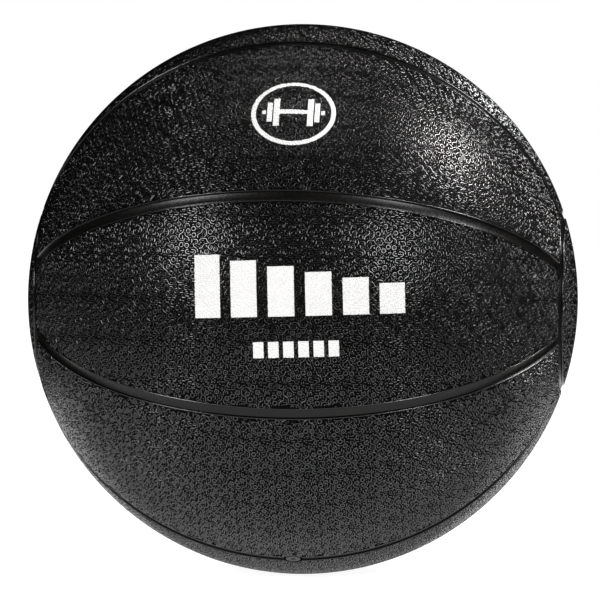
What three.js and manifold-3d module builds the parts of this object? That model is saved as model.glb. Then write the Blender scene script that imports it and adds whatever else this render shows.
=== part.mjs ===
// A rubber medicine ball, built up in plies the way it is made: an inflated bladder, a thick wall of
// mineral-loaded rubber, a wound thread ply, a carcass ply, and a cover of eight gores and two round
// end caps with a channel moulded along every seam.
//
// Millimetres, +Z up, origin at the centre of the ball. The end caps sit on the X axis, and the front
// gore, the one that is printed on, faces -Y.

import * as THREE from 'three';
import { mergeVertices } from 'three/addons/utils/BufferGeometryUtils.js';
import Module from 'manifold-3d';

const wasm = await Module();
wasm.setup();

// ---------------------------------------------------------------- driving dimensions

const BALL_RADIUS = 140;
const GORE_COUNT = 8;
const END_CAP_ANGLE = THREE.MathUtils.degToRad(18.7); // from the X axis to the middle of the ring seam
const SEAM_WIDTH = 4.8;
const SEAM_DEPTH = 0.9;
const GAP = 0.3; // left between pieces that touch in the real ball

const COVER_THICKNESS = 4.5;
const COVER_GAP = 0.8; // wider than GAP, because the flat facets of the gores dip below their corners
const CARCASS_THICKNESS = 3;
const WINDING_THICKNESS = 1.6;
const WALL_THICKNESS = 39.5;
const BLADDER_THICKNESS = 3;

const VALVE_AXIS = THREE.MathUtils.degToRad(-112.5); // turns +Y to the middle of the lower front seam
const EYELET = { radius: 4.35, height: 4, hole: 1 };
const CORE = { radius: 3.2, length: 42, channelDepth: 24, channelRadius: 0.6, tip: 3 };
const SLEEVE = { radius: 8, flangeRadius: 13, flangeThickness: 2.4 };

const GORE_STEPS_ALONG = 20;
const GORE_STEPS_ACROSS = 6;
const PLY_STEPS_AROUND = 24;
const PLY_STEPS_TO_POLE = 6;
const CAP_STEPS_AROUND = 32;
const CAP_STEPS_OUT = 3;
const VALVE_STEPS_AROUND = 24;

// ---------------------------------------------------------------- dimensions that follow from them

const GORE_ANGLE = (2 * Math.PI) / GORE_COUNT;
const COVER_INNER = BALL_RADIUS - COVER_THICKNESS;
const SEAM_FLOOR = BALL_RADIUS - SEAM_DEPTH;
const CARCASS_OUTER = COVER_INNER - COVER_GAP;
const CARCASS_INNER = CARCASS_OUTER - CARCASS_THICKNESS;
const WINDING_OUTER = CARCASS_INNER - GAP;
const WINDING_INNER = WINDING_OUTER - WINDING_THICKNESS;
const WALL_OUTER = WINDING_INNER - GAP;
const WALL_INNER = WALL_OUTER - WALL_THICKNESS;
const BLADDER_OUTER = WALL_INNER - GAP;
const BLADDER_INNER = BLADDER_OUTER - BLADDER_THICKNESS;

// ---------------------------------------------------------------- materials

function rubber(color, roughness) {
  return new THREE.MeshStandardMaterial({ color, roughness, metalness: 0 });
}

const MATERIALS = {
  cover: rubber(0x17181a, 0.55),
  seam: rubber(0x121315, 0.42),
  carcass: rubber(0x26241f, 0.75),
  winding: rubber(0xb9ad8f, 0.9),
  wall: rubber(0x2f3032, 0.8),
  bladder: rubber(0x0f0f10, 0.5),
  valve: rubber(0x1d1d1e, 0.48),
};

const ball = new THREE.Group();

function add(name, geometry, material, parent = ball) {
  const mesh = new THREE.Mesh(geometry, material);
  mesh.name = name;
  parent.add(mesh);
  return mesh;
}

// ---------------------------------------------------------------- geometry helpers

// Merges the vertices that share a place, and turns the faces outwards.
function closed(geometry) {
  const bare = geometry.clone();
  bare.deleteAttribute('normal');
  bare.deleteAttribute('uv');
  return fromSolid(toSolid(mergeVertices(bare, 1e-4)));
}

function toSolid(geometry) {
  const mesh = { numProp: 3, vertProperties: geometry.attributes.position.array };
  mesh.triVerts = new Uint32Array(geometry.index.array);
  if (signedVolume(geometry) < 0) mesh.triVerts.reverse();
  return new wasm.Manifold(new wasm.Mesh(mesh));
}

function fromSolid(solid) {
  const { vertProperties, triVerts } = solid.getMesh();
  const geometry = new THREE.BufferGeometry();
  geometry.setAttribute('position', new THREE.BufferAttribute(vertProperties, 3));
  geometry.setIndex(new THREE.BufferAttribute(triVerts, 1));
  geometry.computeVertexNormals();
  return geometry;
}

function signedVolume(geometry) {
  const corner = [0, 1, 2].map(() => new THREE.Vector3());
  let volume = 0;
  for (let i = 0; i < geometry.index.count; i += 3) {
    corner.forEach((c, k) => c.fromBufferAttribute(geometry.attributes.position, geometry.index.getX(i + k)));
    volume += corner[0].dot(corner[1].cross(corner[2])) / 6;
  }
  return volume;
}

// The point at a radius, an angle from the -X axis, and an angle round X from the front (-Y) up to +Z.
function onBall(radius, fromPole, roundX) {
  const out = radius * Math.sin(fromPole);
  return new THREE.Vector3(-radius * Math.cos(fromPole), -out * Math.cos(roundX), out * Math.sin(roundX));
}

// A block of unit size bent onto the ball: place(along, across, up) takes numbers from 0 to 1.
function bentBlock(stepsAlong, stepsAcross, place) {
  const geometry = new THREE.BoxGeometry(1, 1, 1, stepsAlong, stepsAcross, 1);
  const position = geometry.attributes.position;
  for (let i = 0; i < position.count; i++) {
    const p = place(position.getX(i) + 0.5, position.getY(i) + 0.5, position.getZ(i) + 0.5);
    position.setXYZ(i, p.x, p.y, p.z);
  }
  return closed(geometry);
}

// A profile of (distance from the axis, height) points turned about the Y axis.
function turned(profile, steps) {
  return closed(new THREE.LatheGeometry(profile.map(([r, h]) => new THREE.Vector2(r, h)), steps));
}

function arc(radius, fromPole, toPole, steps) {
  const points = [];
  for (let i = 0; i <= steps; i++) {
    const angle = THREE.MathUtils.lerp(fromPole, toPole, i / steps);
    const onAxis = Math.abs(angle) < 1e-9;
    points.push([onAxis ? 0 : radius * Math.sin(angle), radius * Math.cos(angle)]);
  }
  return points;
}

// Cuts a round hole along the valve's axis, from the middle of the ball outwards.
function drilled(geometry, radius) {
  const drill = new THREE.CylinderGeometry(radius, radius, BALL_RADIUS * 2, VALVE_STEPS_AROUND);
  drill.translate(0, BALL_RADIUS, 0);
  drill.rotateX(VALVE_AXIS);
  return fromSolid(toSolid(geometry).subtract(toSolid(closed(drill))));
}

// ---------------------------------------------------------------- cover

// Half the angle that a channel wall, standing halfWidth from the seam's middle plane, takes up.
function wallAngle(halfWidth, radius, fromPole) {
  return Math.asin(halfWidth / (radius * Math.sin(fromPole)));
}

function goreGeometry(middle) {
  const half = SEAM_WIDTH / 2;
  return bentBlock(GORE_STEPS_ALONG, GORE_STEPS_ACROSS, (along, across, up) => {
    const radius = THREE.MathUtils.lerp(COVER_INNER, BALL_RADIUS, up);
    const end = END_CAP_ANGLE + half / radius;
    const fromPole = THREE.MathUtils.lerp(end, Math.PI - end, along);
    const reach = GORE_ANGLE / 2 - wallAngle(half, radius, fromPole);
    return onBall(radius, fromPole, middle + THREE.MathUtils.lerp(-reach, reach, across));
  });
}

// The strip that closes a meridian seam, from one angle off the -X pole to another.
function seamStripGeometry(middle, from, to, steps) {
  const half = SEAM_WIDTH / 2 - GAP;
  return bentBlock(steps, 1, (along, across, up) => {
    const radius = THREE.MathUtils.lerp(COVER_INNER, SEAM_FLOOR, up);
    const fromPole = THREE.MathUtils.lerp(from, to, along);
    const reach = wallAngle(half, radius, fromPole);
    return onBall(radius, fromPole, middle + THREE.MathUtils.lerp(-reach, reach, across));
  });
}

function endCapGeometry() {
  const edge = SEAM_WIDTH / 2;
  const outer = arc(BALL_RADIUS, 0, END_CAP_ANGLE - edge / BALL_RADIUS, CAP_STEPS_OUT);
  const inner = arc(COVER_INNER, END_CAP_ANGLE - edge / COVER_INNER, 0, CAP_STEPS_OUT);
  return turned([...outer, ...inner], CAP_STEPS_AROUND);
}

function ringStripGeometry() {
  const half = SEAM_WIDTH / 2 - GAP;
  const outer = arc(SEAM_FLOOR, END_CAP_ANGLE - half / SEAM_FLOOR, END_CAP_ANGLE + half / SEAM_FLOOR, 1);
  const inner = arc(COVER_INNER, END_CAP_ANGLE + half / COVER_INNER, END_CAP_ANGLE - half / COVER_INNER, 1);
  return turned([...outer, ...inner, outer[0]], CAP_STEPS_AROUND);
}

function addCover() {
  const gores = ['front', 'front_upper', 'top', 'rear_upper', 'rear', 'rear_lower', 'bottom', 'front_lower'];
  const seams = ['front_high', 'top_front', 'top_rear', 'rear_high', 'rear_low', 'bottom_rear'];
  const stripStart = END_CAP_ANGLE + SEAM_WIDTH / 2 / COVER_INNER;
  const stripEnd = Math.PI - stripStart;

  gores.forEach((place, i) => {
    const gore = goreGeometry(i * GORE_ANGLE);
    const besideValve = place === 'bottom' || place === 'front_lower';
    add(`cover_gore_${place}`, besideValve ? drilled(gore, EYELET.radius + GAP) : gore, MATERIALS.cover);
  });

  seams.forEach((place, i) => {
    const strip = seamStripGeometry((i + 0.5) * GORE_ANGLE, stripStart, stripEnd, GORE_STEPS_ALONG);
    add(`seam_strip_${place}`, strip, MATERIALS.seam);
  });
  const lowFront = seamStripGeometry(-0.5 * GORE_ANGLE, stripStart, stripEnd, GORE_STEPS_ALONG);
  add('seam_strip_front_low', lowFront, MATERIALS.seam);

  // the valve sits in the middle of this seam, so its strip comes in two lengths
  const valveSeam = -1.5 * GORE_ANGLE;
  const besideEyelet = (EYELET.radius + GAP) / COVER_INNER;
  const left = [stripStart, Math.PI / 2 - besideEyelet];
  const right = [Math.PI / 2 + besideEyelet, stripEnd];
  for (const [side, [from, to]] of Object.entries({ left, right })) {
    const strip = seamStripGeometry(valveSeam, from, to, GORE_STEPS_ALONG / 2);
    add(`seam_strip_bottom_front_${side}`, strip, MATERIALS.seam);
  }

  for (const [side, turn] of Object.entries({ left: Math.PI / 2, right: -Math.PI / 2 })) {
    const end = new THREE.Group();
    end.rotation.z = turn;
    add(`end_cap_${side}`, endCapGeometry(), MATERIALS.cover, end);
    add(`ring_strip_${side}`, ringStripGeometry(), MATERIALS.seam, end);
    ball.add(end);
  }
}

// ---------------------------------------------------------------- plies and wall

// Half a hollow sphere, its flat rim half a gap from the middle plane.
function halfShell(outerRadius, innerRadius) {
  const rimAngle = (radius) => Math.acos(GAP / 2 / radius);
  const outer = arc(outerRadius, 0, rimAngle(outerRadius), PLY_STEPS_TO_POLE);
  const inner = arc(innerRadius, rimAngle(innerRadius), 0, PLY_STEPS_TO_POLE);
  return turned([...outer, ...inner], PLY_STEPS_AROUND).rotateX(Math.PI / 2);
}

// A whole hollow sphere, open only where the valve goes through.
function wholeShell(outerRadius, innerRadius, holeRadius) {
  const sphere = (radius) => {
    const shape = turned(arc(radius, 0, Math.PI, 2 * PLY_STEPS_TO_POLE), PLY_STEPS_AROUND);
    return toSolid(shape.rotateX(Math.PI / 2));
  };
  return drilled(fromSolid(sphere(outerRadius).subtract(sphere(innerRadius))), holeRadius);
}

function addHalves(name, outerRadius, innerRadius, holeRadius, material) {
  add(`${name}_upper`, halfShell(outerRadius, innerRadius), material);
  const lower = halfShell(outerRadius, innerRadius).rotateX(Math.PI);
  add(`${name}_lower`, drilled(lower, holeRadius), material);
}

function addPlies() {
  const sleeveHole = SLEEVE.radius + GAP;
  const coreHole = CORE.radius + GAP;
  addHalves('carcass_half', CARCASS_OUTER, CARCASS_INNER, coreHole, MATERIALS.carcass);
  add('thread_winding', wholeShell(WINDING_OUTER, WINDING_INNER, coreHole), MATERIALS.winding);
  addHalves('ballast_half', WALL_OUTER, WALL_INNER, sleeveHole, MATERIALS.wall);
  add('bladder', wholeShell(BLADDER_OUTER, BLADDER_INNER, sleeveHole), MATERIALS.bladder);
}

// ---------------------------------------------------------------- valve

function sleeveGeometry() {
  const flangeTop = BLADDER_INNER * Math.cos(Math.PI / PLY_STEPS_AROUND) ** 2 - 1.8;
  const foot = flangeTop - SLEEVE.flangeThickness;
  const top = WALL_OUTER - 2;
  const bore = CORE.radius + GAP;
  return turned(
    [
      [bore, foot],
      [SLEEVE.flangeRadius, foot],
      [SLEEVE.flangeRadius, flangeTop],
      [SLEEVE.radius, flangeTop],
      [SLEEVE.radius, top],
      [bore, top],
      [bore, foot],
    ],
    VALVE_STEPS_AROUND,
  );
}

function coreGeometry() {
  const top = SEAM_FLOOR - EYELET.height - GAP;
  const foot = top - CORE.length;
  return turned(
    [
      [0, foot],
      [CORE.radius - CORE.tip / 2, foot],
      [CORE.radius, foot + CORE.tip],
      [CORE.radius, top],
      [CORE.channelRadius, top],
      [CORE.channelRadius, top - CORE.channelDepth],
      [0, top - CORE.channelDepth],
    ],
    VALVE_STEPS_AROUND,
  );
}

function eyeletGeometry() {
  const foot = SEAM_FLOOR - EYELET.height;
  return turned(
    [
      [EYELET.hole, foot],
      [EYELET.radius, foot],
      [EYELET.radius, SEAM_FLOOR],
      [EYELET.hole, SEAM_FLOOR],
      [EYELET.hole, foot],
    ],
    VALVE_STEPS_AROUND,
  );
}

function addValve() {
  const valve = new THREE.Group();
  valve.rotation.x = VALVE_AXIS;
  add('valve_sleeve', sleeveGeometry(), MATERIALS.bladder, valve);
  add('valve_core', coreGeometry(), MATERIALS.valve, valve);
  add('valve_eyelet', eyeletGeometry(), MATERIALS.valve, valve);
  ball.add(valve);
}

addCover();
addPlies();
addValve();

export default ball;
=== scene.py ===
import math

import bpy
import numpy as np
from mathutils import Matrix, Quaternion, Vector
from mathutils.geometry import delaunay_2d_cdt


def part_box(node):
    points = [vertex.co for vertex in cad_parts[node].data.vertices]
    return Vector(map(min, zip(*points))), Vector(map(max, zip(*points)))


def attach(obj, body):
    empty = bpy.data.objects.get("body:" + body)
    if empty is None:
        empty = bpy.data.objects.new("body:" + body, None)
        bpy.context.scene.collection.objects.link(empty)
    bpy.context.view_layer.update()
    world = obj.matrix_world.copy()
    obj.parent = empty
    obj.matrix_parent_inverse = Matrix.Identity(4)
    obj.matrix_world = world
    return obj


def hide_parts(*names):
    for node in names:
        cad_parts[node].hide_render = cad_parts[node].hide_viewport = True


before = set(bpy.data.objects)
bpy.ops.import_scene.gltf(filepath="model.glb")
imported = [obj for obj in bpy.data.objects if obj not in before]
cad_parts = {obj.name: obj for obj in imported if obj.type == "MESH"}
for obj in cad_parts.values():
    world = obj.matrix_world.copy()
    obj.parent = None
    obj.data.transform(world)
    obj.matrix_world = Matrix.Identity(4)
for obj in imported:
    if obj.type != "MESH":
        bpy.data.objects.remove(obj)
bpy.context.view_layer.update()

MM = 0.001

# ---------------------------------------------------------------- sizes, from the frame where it has them

BALL_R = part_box("end_cap_right")[1].x
GORES = ["front", "front_upper", "top", "rear_upper", "rear", "rear_lower", "bottom", "front_lower"]
GORE_ANGLE = 2 * math.pi / len(GORES)
CAP_ANGLE = math.radians(18.7)
COVER_INNER_R = BALL_R - 4.5 * MM
SEAM_HALF = 2.4 * MM
SEAM_DEPTH = 0.98 * MM
SEAM_EDGE_DEPTH = 0.76 * MM
SEAM_INNER_R = COVER_INNER_R + 0.1 * MM

RELIEF = 0.36 * MM
SKIN_R = BALL_R - RELIEF
# The raised rim of a panel, in mm: how far in from the edge, and how far up from the ball's surface.
RIM = [(0, -0.36), (0.07, -0.13), (0.24, 0), (0.44, -0.03), (0.6, -0.16), (0.74, -0.36)]
ROUND_CORNER = 3.2 * MM  # of the front, top, rear and bottom gores
SHARP_CORNER = 0.9 * MM  # of the gores between them

VALVE_ANGLE = -1.5 * GORE_ANGLE
NOTCH_R = 5.2 * MM

# ---------------------------------------------------------------- the moulded relief: one repeating tile

TILE = 20.8 * MM
STROKE_HALF_WIDTH = 0.3 * MM
DOT_R = 0.34 * MM
CLEAR = 0.34 * MM  # the least room between strokes
RELIEF_SEED = 11
TRIES = 240  # places tried for each stroke
ROOM_CELLS = 160  # along one side of the tile, for the map of the room that is left


# Stroke sizes in mm, of their middle lines.
RING_STROKE_R = 1.06
HOOK_STROKE_R = 1.15
WAVE_LENGTH = 8.2
WAVE_REACH = 1.22


def ring_stroke():
    turn = np.linspace(0, 2 * math.pi, 14, endpoint=False)
    return np.stack([np.cos(turn), np.sin(turn)], -1) * RING_STROKE_R * MM


def wave_stroke(length):
    """A wave with flattened crests. Its waves are all of one length, whatever stretch of them it shows."""
    x = np.linspace(-length / 2, length / 2, int(length / 0.42) + 1)
    y = WAVE_REACH * np.tanh(2.2 * np.sin(2 * math.pi * x / WAVE_LENGTH))
    return np.stack([x, y], -1) * MM


def hook_stroke():
    turn = np.linspace(-0.55 * math.pi, 0.5 * math.pi, 9)
    arc = np.stack([np.cos(turn), np.sin(turn)], -1) * HOOK_STROKE_R
    tail = np.array([[-0.55, arc[-1][1]], [-1.1, arc[-1][1] + 0.05]])
    return np.concatenate([arc, tail]) * MM


BAR = np.array([[-0.8, 0], [0, 0.1], [0.8, 0]]) * MM
STUB = np.array([[-0.3, 0], [0.3, 0]]) * MM
STROKE_KINDS = [  # middle line, closed, how many in a tile at most
    (wave_stroke(WAVE_LENGTH), False, 3),
    (wave_stroke(4.2), False, 6),
    (ring_stroke(), True, 13),
    (hook_stroke(), False, 6),
    (BAR, False, 14),
    (STUB, False, 26),
]


def turned(points, quarter, flip):
    points = points * [1, -1] if flip else points
    for _ in range(quarter):
        points = points @ np.array([[0, 1], [-1, 0]])
    return points


def torus_distance(points, stroke, closed):
    """The distance from each point to a stroke's middle line, on a tile that repeats."""
    starts = stroke if closed else stroke[:-1]
    ends = np.roll(stroke, -1, 0) if closed else stroke[1:]
    best = np.full(len(points), np.inf)
    for a, b in zip(starts, ends):
        d = (points - a + TILE / 2) % TILE - TILE / 2
        along = b - a
        t = np.clip(d @ along / max(along @ along, 1e-12), 0, 1)
        best = np.minimum(best, np.linalg.norm(d - t[:, None] * along, axis=1))
    return best


def pack_tile():
    """Strokes packed into one tile, long ones first, each at the tightest place of those tried.

    Dots then fill the room that is left, each as close to its neighbours as it can be."""
    rng = np.random.default_rng(RELIEF_SEED)
    side = ROOM_CELLS
    axis = (np.arange(side) + 0.5) * TILE / side
    cells = np.stack(np.meshgrid(axis, axis), -1).reshape(-1, 2)
    room = np.full(len(cells), np.inf)
    placed = []
    for shape, closed, wanted in STROKE_KINDS:
        for _ in range(wanted):
            best = None
            for _ in range(TRIES):
                place = rng.random(2) * TILE
                stroke = turned(shape, rng.integers(4), rng.random() < 0.5) + place
                cell = np.floor((stroke % TILE) / TILE * side).astype(int) % side
                space = room[cell[:, 1] * side + cell[:, 0]].min() - STROKE_HALF_WIDTH
                if space > CLEAR and (best is None or space < best[0]):
                    best = (space, stroke)
            if best is None:
                break
            placed.append((best[1], closed, STROKE_HALF_WIDTH))
            room = np.minimum(room, torus_distance(cells, best[1], closed) - STROKE_HALF_WIDTH)
    while (room > CLEAR + DOT_R).any():
        spot = cells[np.argmin(np.where(room > CLEAR + DOT_R, room, np.inf))][None]
        placed.append((spot, True, DOT_R))
        room = np.minimum(room, torus_distance(cells, spot, True) - DOT_R)
    return placed


RELIEF_TILE = pack_tile()

# ---------------------------------------------------------------- meshes

def on_ball(along, around, radius):
    """Points from the angle off the -X axis, the angle round X from the front, and the radius."""
    along, around, radius = np.broadcast_arrays(along, around, radius)
    out = radius * np.sin(along)
    return np.stack([-radius * np.cos(along), -out * np.cos(around), out * np.sin(around)], -1)


def grid_faces(rows, cols, wrap=False, first=0, flip=False):
    """Quads between neighbours in a grid of vertices. wrap joins the last column to the first."""
    r, c = np.meshgrid(np.arange(rows - 1), np.arange(cols if wrap else cols - 1), indexing="ij")
    a, b = r * cols + c, r * cols + (c + 1) % cols
    quads = np.stack([a, b, b + cols, a + cols], -1).reshape(-1, 4) + first
    return quads[:, ::-1] if flip else quads


def border(number):
    """The numbers round the edge of a grid of vertices, in order."""
    return np.concatenate([number[0, :-1], number[:-1, -1], number[-1, :0:-1], number[:0:-1, 0]])


def loop_faces(rows, cols):
    """Quads over a closed section of cols points that runs round a closed path of rows places."""
    number = np.arange(rows * cols).reshape(rows, cols)
    ahead, beside = np.roll(number, -1, 0), np.roll(number, -1, 1)
    return [np.stack([number, beside, np.roll(ahead, -1, 1), ahead], -1).reshape(-1, 4)]


def signed_volume(points, faces):
    """Six times the volume that the faces close in, above 0 if they face outwards."""
    total = 0.0
    for group in faces:
        for i in range(1, group.shape[1] - 1):
            a, b, c = points[group[:, 0]], points[group[:, i]], points[group[:, i + 1]]
            total += np.einsum("ij,ij->", a, np.cross(b, c))
    return total


def mesh_object(name, points, faces, material, normals=None):
    """A smooth-shaded object from groups of faces, each an array of vertex numbers."""
    if signed_volume(points, faces) < 0:
        faces = [group[:, ::-1] for group in faces]
    mesh = bpy.data.meshes.new(name)
    sizes = np.concatenate([np.full(len(f), f.shape[1]) for f in faces])
    corners = np.concatenate([f.reshape(-1) for f in faces])
    mesh.vertices.add(len(points))
    mesh.vertices.foreach_set("co", np.asarray(points, np.float32).reshape(-1))
    mesh.loops.add(len(corners))
    mesh.loops.foreach_set("vertex_index", corners.astype(np.int32))
    mesh.polygons.add(len(sizes))
    starts = np.concatenate([[0], np.cumsum(sizes)[:-1]])
    mesh.polygons.foreach_set("loop_start", starts.astype(np.int32))
    mesh.polygons.foreach_set("use_smooth", np.full(len(sizes), True))
    mesh.update(calc_edges=True)
    mesh.validate()
    if normals is not None:
        mesh.normals_split_custom_set_from_vertices(normals)
    mesh.materials.append(material)
    obj = bpy.data.objects.new(name, mesh)
    bpy.context.scene.collection.objects.link(obj)
    return obj


# ---------------------------------------------------------------- strokes as raised ridges

# Across a ridge, from foot to foot: half widths out, shares of the relief up, and the slope in degrees.
SECTION = [(-1.22, -0.1, 65), (-0.58, 1.0, 12), (0.58, 1.0, 12), (1.22, -0.1, 65)]
TIP_REACH = 0.75  # of the tip past the end of the middle line, in half widths
TIP_SIZE = 0.5
TIP_HEIGHT = 0.4
TIP_LEAN = 1.2  # of the tip's normals along the stroke
DOT_SIDES = 6


def dot_ridge(centre, half):
    turn = np.linspace(0, 2 * math.pi, DOT_SIDES, endpoint=False)
    outward = np.stack([np.cos(turn), np.sin(turn)], -1)
    (foot, low, foot_slope), (shoulder, high, shoulder_slope) = SECTION[3], SECTION[2]
    points = np.concatenate([centre + outward * half * foot, centre + outward * half * shoulder])
    slopes = np.repeat(np.radians([foot_slope, shoulder_slope]), DOT_SIDES)
    ends = np.arange(DOT_SIDES)
    faces = [grid_faces(2, DOT_SIDES, wrap=True), np.array([ends + DOT_SIDES]), np.array([ends[::-1]])]
    lean = np.tile(outward, (2, 1)) * np.sin(slopes)[:, None]
    return points, np.repeat([low, high], DOT_SIDES), lean, faces


def ridge(line, closed, half):
    """A stroke's ridge in the flat: its points, their heights, how their normals lean, and its faces."""
    if len(line) == 1:
        return dot_ridge(line, half)
    size = np.ones(len(line))
    if closed:
        tangent = np.roll(line, -1, 0) - np.roll(line, 1, 0)
    else:
        first = line[0] + (line[0] - line[1]) / np.linalg.norm(line[0] - line[1]) * half * TIP_REACH
        last = line[-1] + (line[-1] - line[-2]) / np.linalg.norm(line[-1] - line[-2]) * half * TIP_REACH
        line = np.concatenate([[first], line, [last]])
        tangent = np.gradient(line, axis=0)
        size = np.concatenate([[TIP_SIZE], size, [TIP_SIZE]])
    tangent /= np.linalg.norm(tangent, axis=1)[:, None]
    normal = np.stack([-tangent[:, 1], tangent[:, 0]], -1)
    across, up, slope = np.array(SECTION).T
    points = line[:, None] + normal[:, None] * (across * half)[None, :, None] * size[:, None, None]
    heights = np.where(up > 0, up * np.where(size[:, None] > TIP_SIZE, 1, TIP_HEIGHT), up)
    lean = normal[:, None] * np.sign(across)[None, :, None]
    if not closed:
        lean[0] -= tangent[0] * TIP_LEAN
        lean[-1] += tangent[-1] * TIP_LEAN
        lean /= np.linalg.norm(lean, axis=2)[..., None]
    lean = lean * np.sin(np.radians(slope))[None, :, None]
    count, sides = len(line), len(SECTION)
    number = np.arange(count * sides).reshape(count, sides)
    ahead = np.roll(number, -1, 0)
    quads = np.stack([number, ahead, np.roll(ahead, -1, 1), np.roll(number, -1, 1)], -1)
    if closed:
        faces = [quads.reshape(-1, 4)]
    else:
        faces = [quads[:-1].reshape(-1, 4), number[:1], number[-1:, ::-1]]
    return points.reshape(-1, 2), heights.reshape(-1), lean.reshape(-1, 2), faces


# ---------------------------------------------------------------- where a gore and a cap end, in the flat

GORE_HALF_LENGTH = BALL_R * (math.pi / 2 - CAP_ANGLE) - SEAM_HALF
CAP_RADIUS = BALL_R * CAP_ANGLE - SEAM_HALF
RIM_WIDTH = RIM[-1][0] * MM


def corner_radius(index):
    return ROUND_CORNER if index % 2 == 0 else SHARP_CORNER


def corner_flare(along, radius):
    """How far a gore's rounded corner lies back from the line of its side, next to the ring."""
    short = np.clip(radius - (GORE_HALF_LENGTH - np.abs(along)), 0, radius)
    return radius - np.sqrt(radius**2 - short**2)


def gore_reach(along, corner, notched):
    """How far a gore reaches across, at arc lengths along it. notched: it gives way to the valve's eyelet."""
    out = BALL_R * np.cos(along / BALL_R)
    wall = np.full_like(along, SEAM_HALF)
    if notched:
        wall = np.maximum(wall, np.sqrt(np.maximum(NOTCH_R**2 - along**2, 0)))
    return out * (GORE_ANGLE / 2 - np.arcsin((wall + corner_flare(along, corner)) / out))


class Gore:
    """A gore laid flat: along is arc length from its middle, and across is arc length round X."""

    def __init__(self, name):
        self.name = name
        self.middle = GORES.index(name) * GORE_ANGLE
        self.corner_radius = corner_radius(GORES.index(name))
        self.notch_low = name == "front_lower"
        self.notch_high = name == "bottom"
        self.corner = (GORE_HALF_LENGTH, BALL_R * GORE_ANGLE / 2)

    def bend(self, flat, radius):
        out = np.cos(flat[..., 0] / BALL_R)
        around = self.middle + flat[..., 1] / (BALL_R * out)
        return on_ball(math.pi / 2 + flat[..., 0] / BALL_R, around, radius)

    def sides(self, along):
        low = -gore_reach(along, self.corner_radius, self.notch_low)
        return low, gore_reach(along, self.corner_radius, self.notch_high)

    def inside(self, flat):
        low, high = self.sides(np.clip(flat[..., 0], -GORE_HALF_LENGTH, GORE_HALF_LENGTH))
        to_end = GORE_HALF_LENGTH - np.abs(flat[..., 0])
        return np.minimum(to_end, np.minimum(flat[..., 1] - low, high - flat[..., 1]))

    def pull_in(self, flat, margin):
        along = np.clip(flat[..., 0], margin - GORE_HALF_LENGTH, GORE_HALF_LENGTH - margin)
        low, high = self.sides(along)
        return np.stack([along, np.clip(flat[..., 1], low + margin, high - margin)], -1)


class Cap:
    """An end cap laid flat round its pole."""

    def __init__(self, name):
        self.name = name
        self.corner = (CAP_RADIUS, CAP_RADIUS)

    def bend(self, flat, radius):
        from_pole = np.hypot(flat[..., 0], flat[..., 1]) / BALL_R
        around = np.arctan2(flat[..., 1], flat[..., 0])
        return on_ball(from_pole if self.name == "left" else math.pi - from_pole, around, radius)

    def inside(self, flat):
        return CAP_RADIUS - np.hypot(flat[..., 0], flat[..., 1])

    def pull_in(self, flat, margin):
        out = np.hypot(flat[..., 0], flat[..., 1])
        return flat * np.minimum(1, (CAP_RADIUS - margin) / np.maximum(out, 1e-9))[..., None]


# ---------------------------------------------------------------- relief and skin

def relief_piece(name, panel, shift, material):
    """Every stroke of the repeating tile that falls on a panel, bent onto the ball and kept inside its rim."""
    low = np.floor((-np.array(panel.corner) - shift) / TILE).astype(int) - 1
    high = np.ceil((np.array(panel.corner) - shift) / TILE).astype(int) + 1
    steps = np.stack(np.meshgrid(*[np.arange(a, b) for a, b in zip(low, high)]), -1).reshape(-1, 2)
    points, normals, faces, count = [], [], [], 0
    for line, closed, half in RELIEF_TILE:
        flat, heights, lean, shape = ridge(line, closed, half)
        copies = flat[None] + (steps * TILE + shift)[:, None]
        share = (panel.inside(copies) > RIM_WIDTH).mean(1)
        copies = panel.pull_in(copies[share > 0.5], RIM_WIDTH * 0.6)
        bent = panel.bend(copies, SKIN_R + heights * RELIEF)
        aside = panel.bend(copies + lean * MM, SKIN_R + heights * RELIEF) - bent
        upright = np.sqrt(1 - (lean**2).sum(-1))
        normals.append((aside / MM + bent / BALL_R * upright[:, None]).reshape(-1, 3))
        points.append(bent.reshape(-1, 3))
        starts = count + np.arange(len(copies)) * len(flat)
        faces += [(group[None] + starts[:, None, None]).reshape(-1, group.shape[1]) for group in shape]
        count += len(copies) * len(flat)
    return mesh_object(name, np.concatenate(points), faces, material, np.concatenate(normals))


def rim_height(inset):
    """The skin's height at a distance in from a panel's edge: a thin raised rim, then the relief's ground."""
    return np.interp(inset, [d * MM for d, _ in RIM], [h * MM for _, h in RIM])


def slab(name, panel, flat, inset, ground, rim, wrap=False):
    """A closed slab of cover over a grid of flat points: skin, walls into the channel, and inner side."""
    rows, cols = flat.shape[:2]
    outer = panel.bend(flat, BALL_R + rim_height(inset)).reshape(-1, 3)
    inner = panel.bend(flat, COVER_INNER_R).reshape(-1, 3)
    number = np.arange(rows * cols).reshape(rows, cols)
    if wrap:
        edge = number[-1]
    else:
        edge = border(number)
    wall = panel.bend(flat.reshape(-1, 2)[edge], BALL_R - SEAM_DEPTH - 0.3 * MM)
    count = rows * cols
    loop = np.stack([edge, np.arange(len(edge)) + 2 * count, edge + count])
    walls = [np.stack([a, np.roll(a, -1), np.roll(b, -1), b], -1) for a, b in zip(loop, loop[1:])]
    top = grid_faces(rows, cols, wrap=wrap, flip=not wrap)
    faces = [top, (top + count)[:, ::-1], *walls]
    if wrap:
        faces += [number[:1, ::-1], number[:1] + count]
    piece = mesh_object(name, np.concatenate([outer, inner, wall]), faces, ground)
    piece.data.materials.append(rim)
    on_rim = np.zeros(2 * count + len(edge), bool)
    on_rim[:count] = inset.reshape(-1) < RIM_WIDTH * 0.99
    on_rim[2 * count:] = True
    slots = [on_rim[group].all(1) | (group >= 2 * count).any(1) for group in faces]
    piece.data.polygons.foreach_set("material_index", np.concatenate(slots).astype(np.int32))
    return piece


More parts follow.
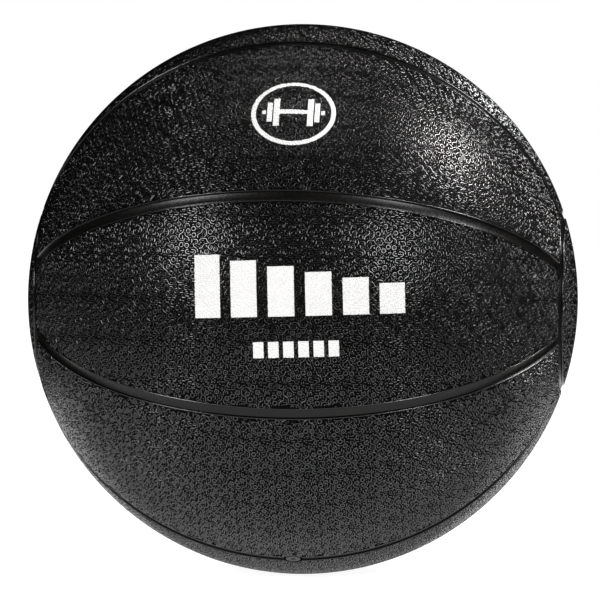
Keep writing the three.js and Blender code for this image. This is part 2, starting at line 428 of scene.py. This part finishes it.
def gore_grid(gore):
    """Flat points over a gore, close together at its edges and beside the valve."""
    edge = np.array([d for d, _ in RIM]) * MM
    middle = np.linspace(edge[-1] - GORE_HALF_LENGTH, GORE_HALF_LENGTH - edge[-1], 110)
    bend = np.linspace(edge[-1], gore.corner_radius, 9)[1:]
    along = np.concatenate([edge - GORE_HALF_LENGTH, middle[1:-1], GORE_HALF_LENGTH - edge[::-1]])
    to_end = GORE_HALF_LENGTH - np.abs(along)
    along = along[(to_end > bend[-1] + MM) | (to_end < bend[0])]
    along = np.sort(np.concatenate([along, bend - GORE_HALF_LENGTH, GORE_HALF_LENGTH - bend]))
    if gore.notch_low or gore.notch_high:
        corner = math.sqrt(NOTCH_R**2 - SEAM_HALF**2)
        along = np.concatenate([along[np.abs(along) > corner + MM], np.linspace(-corner, corner, 17)])
        along.sort()
    low, high = gore.sides(along)
    share = np.linspace(0, 1, 34)[1:-1]
    inner_low, inner_high = (low + edge[-1])[:, None], (high - edge[-1])[:, None]
    across = np.concatenate([
        low[:, None] + edge,
        inner_low + (inner_high - inner_low) * share,
        high[:, None] - edge[::-1],
    ], 1)
    flat = np.stack([np.repeat(along[:, None], across.shape[1], 1), across], -1)
    inset = np.minimum(across - low[:, None], high[:, None] - across)
    inset = np.minimum(inset, (GORE_HALF_LENGTH - np.abs(along))[:, None])
    return flat, inset


def cap_grid():
    edge = np.array([d for d, _ in RIM]) * MM
    out = np.concatenate([np.linspace(1.5 * MM, CAP_RADIUS - edge[-1], 16)[:-1], CAP_RADIUS - edge[::-1]])
    around = np.linspace(0, 2 * math.pi, 96, endpoint=False)
    flat = out[:, None, None] * np.stack([np.cos(around), np.sin(around)], -1)
    return flat, np.repeat((CAP_RADIUS - out)[:, None], len(around), 1)


# ---------------------------------------------------------------- channels between the panels

STRIP_COLUMNS = 9


def channel_floor(across, edge_share):
    """How deep the channel's floor lies. It is hollow at edge_share 0, and flat at its edges' depth at 1."""
    hollow = SEAM_DEPTH - (SEAM_DEPTH - SEAM_EDGE_DEPTH) * (across / SEAM_HALF) ** 2
    return hollow + (SEAM_EDGE_DEPTH - hollow) * edge_share


def seam_strip(name, index, start, stop, material, around_valve=False):
    """The channel floor above a gore, by the gore's number, between two arc lengths from the middle."""
    across = np.linspace(-SEAM_HALF, SEAM_HALF, STRIP_COLUMNS)
    begin, finish = np.full(STRIP_COLUMNS, start), np.full(STRIP_COLUMNS, stop)
    if around_valve:
        bay = np.sqrt(NOTCH_R**2 - across**2)
        begin, finish = (bay, finish) if start == 0 else (begin, -bay)
    closer = [np.linspace(0, 0.02, 8)[1:-1], np.linspace(0.98, 1, 8)[1:-1]]
    share = np.sort(np.concatenate([np.linspace(0, 1, 90), *closer]))[:, None]
    along = begin + (finish - begin) * share
    to_ring = GORE_HALF_LENGTH - np.abs(along)
    edge_share = np.clip(1 - to_ring / (3 * MM), 0, 1) ** 2
    top = BALL_R - channel_floor(across[None], edge_share)
    clipped = np.clip(along, -GORE_HALF_LENGTH, GORE_HALF_LENGTH)
    below, above = (corner_flare(clipped, corner_radius(gore)) for gore in (index, index + 1))
    wide = across * (1 + np.where(across < 0, below, above) / SEAM_HALF)
    around = (index + 0.5) * GORE_ANGLE + np.arcsin(wide / (BALL_R * np.cos(along / BALL_R)))
    from_pole = math.pi / 2 + along / BALL_R
    upper = on_ball(from_pole, around, top).reshape(-1, 3)
    lower = on_ball(from_pole, around, SEAM_INNER_R).reshape(-1, 3)
    rows, cols = along.shape
    edge = border(np.arange(rows * cols).reshape(rows, cols))
    wall = np.stack([edge, np.roll(edge, -1), np.roll(edge, -1) + rows * cols, edge + rows * cols], -1)
    top_faces = grid_faces(rows, cols, flip=True)
    faces = [top_faces, (top_faces + rows * cols)[:, ::-1], wall]
    return mesh_object(name, np.concatenate([upper, lower]), faces, material)


def ring_strip(name, side, material):
    """The channel floor round an end cap."""
    across = np.linspace(-SEAM_HALF, SEAM_HALF, STRIP_COLUMNS)
    top = BALL_R - channel_floor(across, 0)
    underside = [[SEAM_HALF, SEAM_INNER_R], [-SEAM_HALF, SEAM_INNER_R]]
    section = np.concatenate([np.stack([across, top], -1), underside])
    from_pole = CAP_ANGLE + section[:, 0] / BALL_R
    around = np.linspace(0, 2 * math.pi, 128, endpoint=False)[:, None]
    points = on_ball(from_pole if side == "left" else math.pi - from_pole, around, section[:, 1])
    rows, cols = points.shape[:2]
    return mesh_object(name, points.reshape(-1, 3), loop_faces(rows, cols), material)


def turned_piece(name, profile, material):
    """A profile turned round the valve's axis: distances from the axis, and from the ball's middle."""
    turn = np.linspace(0, 2 * math.pi, 48, endpoint=False)[:, None]
    r, h = np.array(profile).T
    axis = np.array([0, -math.cos(VALVE_ANGLE), math.sin(VALVE_ANGLE)])
    side = np.cross(axis, [1, 0, 0])
    out = (r * np.cos(turn))[..., None] * [1, 0, 0] + (r * np.sin(turn))[..., None] * side
    points = out + h[:, None] * axis
    rows, cols = points.shape[:2]
    return mesh_object(name, points.reshape(-1, 3), loop_faces(rows, cols), material)


EYELET_PROFILE = [  # in mm, out from the axis and up from the ball's surface
    (0.95, -4.8), (4.3, -4.8), (4.35, -4.6), (4.35, -2.0), (4.25, -1.85), (3.75, -1.8), (3.7, -0.42),
    (3.63, -0.24), (3.45, -0.14), (2.6, -0.06), (1.75, -0.04), (1.4, -0.1), (1.15, -0.3), (1.0, -0.8),
    (0.95, -1.5),
]


# ---------------------------------------------------------------- plain printed shapes, with no lettering

def box_outline(left, low, right, high):
    return np.array([(left, low), (right, low), (right, high), (left, high)])


def circle(radius):
    turn = np.linspace(0, 2 * math.pi, 144, endpoint=False)
    return radius * np.stack([np.cos(turn), np.sin(turn)], 1)


BADGE = [  # a ring with a dumbbell in it, in units of the ring's width
    circle(0.5), circle(0.445),
    box_outline(-0.165, -0.032, 0.165, 0.032),
    box_outline(0.165, -0.215, 0.235, 0.215), box_outline(-0.235, -0.215, -0.165, 0.215),
    box_outline(0.25, -0.15, 0.31, 0.15), box_outline(-0.31, -0.15, -0.25, 0.15),
    box_outline(0.325, -0.032, 0.37, 0.032), box_outline(-0.37, -0.032, -0.325, 0.032),
]


def within(points, outlines):
    """Which points lie inside the outlines. An outline inside another is a hole."""
    odd = np.zeros(len(points), bool)
    for outline in outlines:
        for a, b in zip(outline, np.roll(outline, -1, 0)):
            spans = (a[1] > points[:, 1]) != (b[1] > points[:, 1])
            rise = b[1] - a[1] if b[1] != a[1] else 1e-12
            odd ^= spans & (points[:, 0] < a[0] + (points[:, 1] - a[1]) / rise * (b[0] - a[0]))
    return odd


INK_STEP = 0.28 * MM  # between the points of its mesh
INK_THICKNESS = 0.05 * MM
INK_ROOT = 0.12 * MM  # how far it reaches down into the cover
MAP_CELLS = 208  # along one side of the tile


def relief_map():
    """The relief's height over one tile, on a square grid, for what lies on top of it."""
    side = MAP_CELLS
    axis = (np.arange(side) + 0.5) * TILE / side
    cells = np.stack(np.meshgrid(axis, axis), -1).reshape(-1, 2)
    height = np.zeros(len(cells))
    for line, closed, half in RELIEF_TILE:
        away = torus_distance(cells, line if len(line) > 1 else np.repeat(line, 2, 0), closed) / half
        height = np.maximum(height, np.interp(away, [0.8, 1.7], [1, 0]))
    return height.reshape(side, side)


def relief_at(flat, shift, heights):
    """The relief's height at flat points of a panel whose tiles are moved by shift."""
    side = len(heights)
    cell = ((flat - shift) / TILE % 1) * side - 0.5
    low = np.floor(cell).astype(int)
    part = cell - low
    total = 0
    for i in (0, 1):
        for j in (0, 1):
            weight = np.abs(1 - i - part[:, 0]) * np.abs(1 - j - part[:, 1])
            total = total + weight * heights[(low[:, 1] + j) % side, (low[:, 0] + i) % side]
    return total


def ink_piece(name, panel, outlines, shift, heights, material):
    """A thin closed skin of ink inside the outlines, lying over the relief."""
    loops = []
    for outline in outlines:
        ahead = np.roll(outline, -1, 0)
        spaced = []
        for a, b in zip(outline, ahead):
            pieces = max(1, int(np.linalg.norm(b - a) / INK_STEP))
            spaced += [a + (b - a) * t for t in np.arange(pieces) / pieces]
        loops.append(np.array(spaced))
    low = np.concatenate(loops).min(0)
    high = np.concatenate(loops).max(0)
    xs, ys = np.arange(low[0], high[0], INK_STEP), np.arange(low[1], high[1], INK_STEP * 0.87)
    inner = np.stack(np.meshgrid(xs, ys), -1)
    inner[1::2, :, 0] += INK_STEP / 2
    inner = inner.reshape(-1, 2)
    inner = inner[within(inner, loops)]
    rim = np.concatenate(loops)
    near = np.array([np.hypot(*(rim - p).T).min() for p in inner])
    inner = inner[near > INK_STEP * 0.4]
    edges, first = [], 0
    for loop in loops:
        number = np.arange(len(loop))
        edges.append(np.stack([number, np.roll(number, -1)], -1) + first)
        first += len(loop)
    edges = np.concatenate(edges)
    flat = np.concatenate([rim, inner])
    found = delaunay_2d_cdt([Vector(p / MM) for p in flat], edges.tolist(), [], 0, 1e-6)
    flat = np.array([tuple(v) for v in found[0]]) * MM
    triangles = np.array(found[2])
    triangles = triangles[within(flat[triangles].mean(1), loops)]
    count = len(flat)
    up = relief_at(flat, shift, heights) * RELIEF + INK_THICKNESS
    top = panel.bend(flat, SKIN_R + up)
    root = panel.bend(flat, np.full(count, SKIN_R - INK_ROOT))
    sides = np.concatenate([triangles[:, [0, 1]], triangles[:, [1, 2]], triangles[:, [2, 0]]])
    ordered = set(map(tuple, sides.tolist()))
    border = np.array([e for e in ordered if (e[1], e[0]) not in ordered])
    border = border[np.lexsort((border[:, 1], border[:, 0]))]
    skirt = np.stack([border[:, 1], border[:, 0], border[:, 0] + count, border[:, 1] + count], -1)
    faces = [triangles, triangles[:, ::-1] + count, skirt]
    return mesh_object(name, np.concatenate([top, root]), faces, material)


# ---------------------------------------------------------------- materials

class Surface:
    """A Principled material built from procedural nodes, on the object's own coordinates in metres."""

    def __init__(self, name, **sockets):
        self.material = bpy.data.materials.new(name)
        self.material.use_nodes = True
        self.tree = self.material.node_tree
        self.shader = self.tree.nodes["Principled BSDF"]
        for socket, value in sockets.items():
            self.shader.inputs[socket.replace("_", " ")].default_value = value
        self.place = self.tree.nodes.new("ShaderNodeTexCoord").outputs["Object"]

    def node(self, kind, **inputs):
        node = self.tree.nodes.new(kind)
        for name, value in inputs.items():
            self.link(value, node.inputs[name.replace("_", " ")])
        return node

    def link(self, value, socket):
        if isinstance(value, bpy.types.NodeSocket):
            self.tree.links.new(value, socket)
        else:
            socket.default_value = value

    def noise(self, size, detail=4.0):
        """Cloudy noise whose features are about size metres across."""
        node = self.node("ShaderNodeTexNoise", Vector=self.place, Scale=1 / size, Detail=detail)
        return node.outputs["Fac"]

    def spread(self, value, low, high, from_low=0.3, from_high=0.7):
        node = self.node("ShaderNodeMapRange", Value=value)
        node.inputs["From Min"].default_value, node.inputs["From Max"].default_value = from_low, from_high
        node.inputs["To Min"].default_value, node.inputs["To Max"].default_value = low, high
        return node.outputs[0]

    def blend(self, share, first, second):
        node = self.tree.nodes.new("ShaderNodeMix")
        node.data_type = "RGBA"
        self.link(share, node.inputs["Factor"])
        self.link(first, node.inputs[6])  # the colour sockets A and B, and the colour result
        self.link(second, node.inputs[7])
        return node.outputs[2]

    def bump(self, height, depth):
        node = self.node("ShaderNodeBump", Height=height, Strength=1.0, Distance=depth)
        self.link(node.outputs[0], self.shader.inputs["Normal"])


def grey(value, warmth=0.0):
    return (value * (1 + warmth), value, value * (1 - warmth), 1)


def rubber(name, dark, light, rough, grain, warm=0.0, level=0.5):
    """Moulded rubber: cloudy tone, uneven gloss and a fine grain."""
    surface = Surface(name, Specular_IOR_Level=level)
    clouds = surface.spread(surface.noise(14 * MM), 0, 1)
    surface.link(surface.blend(clouds, grey(dark), grey(light, warm)), surface.shader.inputs["Base Color"])
    gloss = surface.spread(surface.noise(1.6 * MM), rough[0], rough[1])
    surface.link(gloss, surface.shader.inputs["Roughness"])
    surface.bump(surface.noise(0.22 * MM, 2.0), grain)
    return surface.material


def printed_ink(name):
    surface = Surface(name)
    patches = surface.spread(surface.noise(5 * MM), 0, 1)
    tone = surface.blend(patches, grey(0.57, 0.012), grey(0.61, 0.006))
    surface.link(tone, surface.shader.inputs["Base Color"])
    surface.link(surface.spread(surface.noise(0.9 * MM), 0.5, 0.62), surface.shader.inputs["Roughness"])
    surface.bump(surface.noise(0.3 * MM, 2.0), 0.01 * MM)
    return surface.material


def wound_thread(name):
    surface = Surface(name)
    wave = surface.node("ShaderNodeTexWave", Vector=surface.place, Scale=260.0, Distortion=14.0)
    wave.inputs["Detail"].default_value = 3.0
    line = wave.outputs["Fac"]
    tone = surface.blend(line, grey(0.28, 0.12), grey(0.55, 0.12))
    surface.link(tone, surface.shader.inputs["Base Color"])
    surface.link(surface.spread(line, 0.95, 0.7, 0, 1), surface.shader.inputs["Roughness"])
    surface.bump(line, 0.3 * MM)
    return surface.material


# The ground between the strokes is darker and far less reflective than the strokes of the same rubber: painted
# shade for the gaps between them.
SKIN_PAINTED_SHADE = rubber("cover_rubber_ground_painted_shade", 0.0008, 0.0016, (0.5, 0.65), 0.03 * MM, level=0.02)
RELIEF_RUBBER = rubber("cover_rubber_relief", 0.001, 0.002, (0.16, 0.22), 0.008 * MM)
CHANNEL = rubber("seam_rubber_satin", 0.0015, 0.003, (0.24, 0.34), 0.03 * MM, warm=0.12, level=0.22)
VALVE = rubber("valve_rubber_black", 0.005, 0.009, (0.4, 0.55), 0.02 * MM)
INK = printed_ink("print_ink_white")
CARCASS = rubber("carcass_rubber_brown", 0.016, 0.026, (0.7, 0.85), 0.08 * MM, warm=0.2)
BALLAST = rubber("ballast_rubber_grey", 0.026, 0.045, (0.75, 0.92), 0.2 * MM)
BLADDER = rubber("bladder_rubber_black", 0.004, 0.007, (0.4, 0.55), 0.02 * MM)
THREAD = wound_thread("winding_thread_cotton")

# ---------------------------------------------------------------- the cover


def show(piece, slot, *nodes):
    """The piece moves with the ball, and stands for the CAD nodes that are named."""
    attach(piece, "root")
    if nodes:
        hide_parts(*nodes)
    return piece


# How far each panel's tiles are moved, so that no two panels match.
SHIFTS = {name: np.array([3.1 * i, 5.3 * i]) * MM for i, name in enumerate([*GORES, "left", "right"])}

for name in GORES:
    gore = Gore(name)
    flat, inset = gore_grid(gore)
    skin = slab(f"cover_skin_{name}", gore, flat, inset, SKIN_PAINTED_SHADE, RELIEF_RUBBER)
    show(skin, "cover_rubber", f"cover_gore_{name}")
    show(relief_piece(f"cover_relief_{name}", gore, SHIFTS[name], RELIEF_RUBBER), "cover_rubber")

for side in ("left", "right"):
    cap = Cap(side)
    flat, inset = cap_grid()
    skin = slab(f"cap_skin_{side}", cap, flat, inset, SKIN_PAINTED_SHADE, RELIEF_RUBBER, wrap=True)
    show(skin, "cover_rubber", f"end_cap_{side}")
    show(relief_piece(f"cap_relief_{side}", cap, SHIFTS[side], RELIEF_RUBBER), "cover_rubber")
    show(ring_strip(f"ring_channel_{side}", side, CHANNEL), "seam_rubber", f"ring_strip_{side}")

STRIP_END = GORE_HALF_LENGTH + 0.4 * MM
SEAMS = ["front_high", "top_front", "top_rear", "rear_high", "rear_low", "bottom_rear"]
for i, name in enumerate(SEAMS):
    strip = seam_strip(f"seam_channel_{name}", i, -STRIP_END, STRIP_END, CHANNEL)
    show(strip, "seam_rubber", f"seam_strip_{name}")
strip = seam_strip("seam_channel_front_low", -1, -STRIP_END, STRIP_END, CHANNEL)
show(strip, "seam_rubber", "seam_strip_front_low")
for side, start, stop in (("left", -STRIP_END, 0), ("right", 0, STRIP_END)):
    strip = seam_strip(f"seam_channel_bottom_front_{side}", -2, start, stop, CHANNEL, True)
    show(strip, "seam_rubber", f"seam_strip_bottom_front_{side}")

eyelet = [(r * MM, BALL_R + h * MM) for r, h in EYELET_PROFILE]
show(turned_piece("valve_eyelet_disc", eyelet, VALVE), "valve_rubber", "valve_eyelet")

# ---------------------------------------------------------------- printed marks

FRONT, UPPER = Gore("front"), Gore("front_upper")
HEIGHTS = relief_map()
PRINT_TURN = math.radians(2.0)
BADGE_WIDTH = 42 * MM
BADGE_MIDDLE = np.array([1.2, -6.0]) * MM


def bar_row(name, count, width, gap, tallest, step, middle):
    """A row of upright bars that stand on one line. Each is shorter than the one before it by the step."""
    c, s = math.cos(PRINT_TURN), math.sin(PRINT_TURN)
    spin = np.array([[c, s], [-s, c]])
    row = count * (width + gap) - gap
    for i in range(count):
        left = i * (width + gap) - row / 2
        bar = box_outline(left, 0, left + width, tallest - i * step) @ spin + middle
        show(ink_piece(f"{name}_{i + 1}", FRONT, [bar], SHIFTS["front"], HEIGHTS, INK), "print_ink")


bar_row("print_bar", 6, 13 * MM, 5.4 * MM, 31 * MM, 3.2 * MM, np.array([8.0, -5.2]) * MM)
bar_row("print_tick", 6, 5.2 * MM, 2.2 * MM, 8 * MM, 0, np.array([6.2, -25.6]) * MM)
badge = [outline * BADGE_WIDTH + BADGE_MIDDLE for outline in BADGE]
show(ink_piece("print_badge", UPPER, badge, SHIFTS["front_upper"], HEIGHTS, INK), "print_ink")

# ---------------------------------------------------------------- inner plies, which keep their CAD shapes

for names, material in (
    (("carcass_half_upper", "carcass_half_lower"), CARCASS),
    (("thread_winding",), THREAD),
    (("ballast_half_upper", "ballast_half_lower"), BALLAST),
    (("bladder", "valve_sleeve"), BLADDER),
    (("valve_core",), VALVE),
):
    for name in names:
        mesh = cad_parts[name].data
        mesh.materials.clear()
        mesh.materials.append(material)

# ---------------------------------------------------------------- floor, lights and camera


FLOOR_RADIUS = 12
FLOOR_SIDES = 64


def stage_floor():
    """A white floor that touches the ball and glows, more so away from it, so it shows as plain paper."""
    mesh = bpy.data.meshes.new("floor")
    turn = np.linspace(0, 2 * math.pi, FLOOR_SIDES, endpoint=False)
    x, y = FLOOR_RADIUS * np.cos(turn), FLOOR_RADIUS * np.sin(turn)
    ring = np.stack([x, y, np.full(FLOOR_SIDES, -BALL_R)], -1)
    mesh.from_pydata(ring.tolist(), [], [list(range(FLOOR_SIDES))])
    surface = Surface("floor_white", Roughness=0.9, Specular_IOR_Level=0.2)
    paper = surface.spread(surface.noise(0.5), 0, 1)
    surface.link(surface.blend(paper, grey(0.34), grey(0.36)), surface.shader.inputs["Base Color"])
    surface.shader.inputs["Emission Color"].default_value = (1, 1, 1, 1)
    away = surface.tree.nodes.new("ShaderNodeVectorMath")
    away.operation = "LENGTH"
    surface.link(surface.place, away.inputs[0])
    glow = surface.spread(away.outputs["Value"], 0.95, 1.1, 0.25, 1.6)
    surface.link(glow, surface.shader.inputs["Emission Strength"])
    mesh.materials.append(surface.material)
    floor = bpy.data.objects.new("floor", mesh)
    floor.visible_glossy = False
    floor.visible_diffuse = False
    bpy.context.scene.collection.objects.link(floor)


def softbox(name, azimuth, elevation, distance, width, height, power):
    """An area light that faces the ball. Azimuth 0 is in front, and 90 is at the right."""
    a, e = math.radians(azimuth), math.radians(elevation)
    toward = Vector((math.sin(a) * math.cos(e), -math.cos(a) * math.cos(e), math.sin(e)))
    light = bpy.data.lights.new(name, "AREA")
    light.shape = "RECTANGLE"
    light.size, light.size_y = width, height
    light.energy = power
    lamp = bpy.data.objects.new(name, light)
    lamp.location = toward * distance
    lamp.rotation_euler = toward.to_track_quat("Z", "Y").to_euler()
    lamp.visible_camera = False
    bpy.context.scene.collection.objects.link(lamp)
    return lamp


stage_floor()
softbox("key_upper_right", 102, 44.5, 2.2, 0.55, 0.55, 72)
softbox("top", 0, 84, 2.0, 0.7, 0.5, 3)
softbox("fill_left", -44, 20.5, 2.2, 0.6, 0.55, 43)
softbox("fill_right", 42, 20, 2.2, 0.55, 0.55, 38)
# Light from the floor, which the ball shades under itself: where along Y, how deep and how strong.
BOUNCE_WIDTH = 0.72
BOUNCES = {"front": (-0.35, 0.6, 1.92), "under": (0, 0.1, 0.2), "rear": (0.35, 0.6, 3.0)}
for name, (y, depth, power) in BOUNCES.items():
    bounce = softbox(f"floor_bounce_{name}", 0, -90, BALL_R - MM, BOUNCE_WIDTH, depth, power)
    bounce.location.y = y

world = bpy.data.worlds.new("studio")
bpy.context.scene.world = world
world.use_nodes = True
world.node_tree.nodes["Background"].inputs["Color"].default_value = (1, 1, 1, 1)
world.node_tree.nodes["Background"].inputs["Strength"].default_value = 1.0
world.cycles_visibility.diffuse = False
world.cycles_visibility.glossy = False

CAMERA_AZIMUTH, CAMERA_ELEVATION, CAMERA_ROLL = math.radians(3.8), math.radians(1.3), math.radians(0.6)
CAMERA_DISTANCE = 22 * BALL_R
FRAME_FILL = 11 / 12  # the ball's radius as a share of half the frame
HALF_SENSOR = 18

camera_data = bpy.data.cameras.new("camera")
camera = bpy.data.objects.new("camera", camera_data)
toward = Vector((
    math.sin(CAMERA_AZIMUTH) * math.cos(CAMERA_ELEVATION),
    -math.cos(CAMERA_AZIMUTH) * math.cos(CAMERA_ELEVATION),
    math.sin(CAMERA_ELEVATION),
))
camera.location = toward * CAMERA_DISTANCE
camera.rotation_mode = "QUATERNION"
turn = toward.to_track_quat("Z", "Y")
camera.rotation_quaternion = turn @ Quaternion((0, 0, 1), CAMERA_ROLL)
camera_data.sensor_width = 2 * HALF_SENSOR
camera_data.lens = HALF_SENSOR * FRAME_FILL / math.tan(math.asin(BALL_R / CAMERA_DISTANCE))
camera_data.shift_x, camera_data.shift_y = -0.0049, -0.0017
camera_data.clip_end = 100
bpy.context.scene.collection.objects.link(camera)
bpy.context.scene.camera = camera

bpy.context.scene.view_settings.view_transform = "Standard"
bpy.context.scene.view_settings.look = "None"
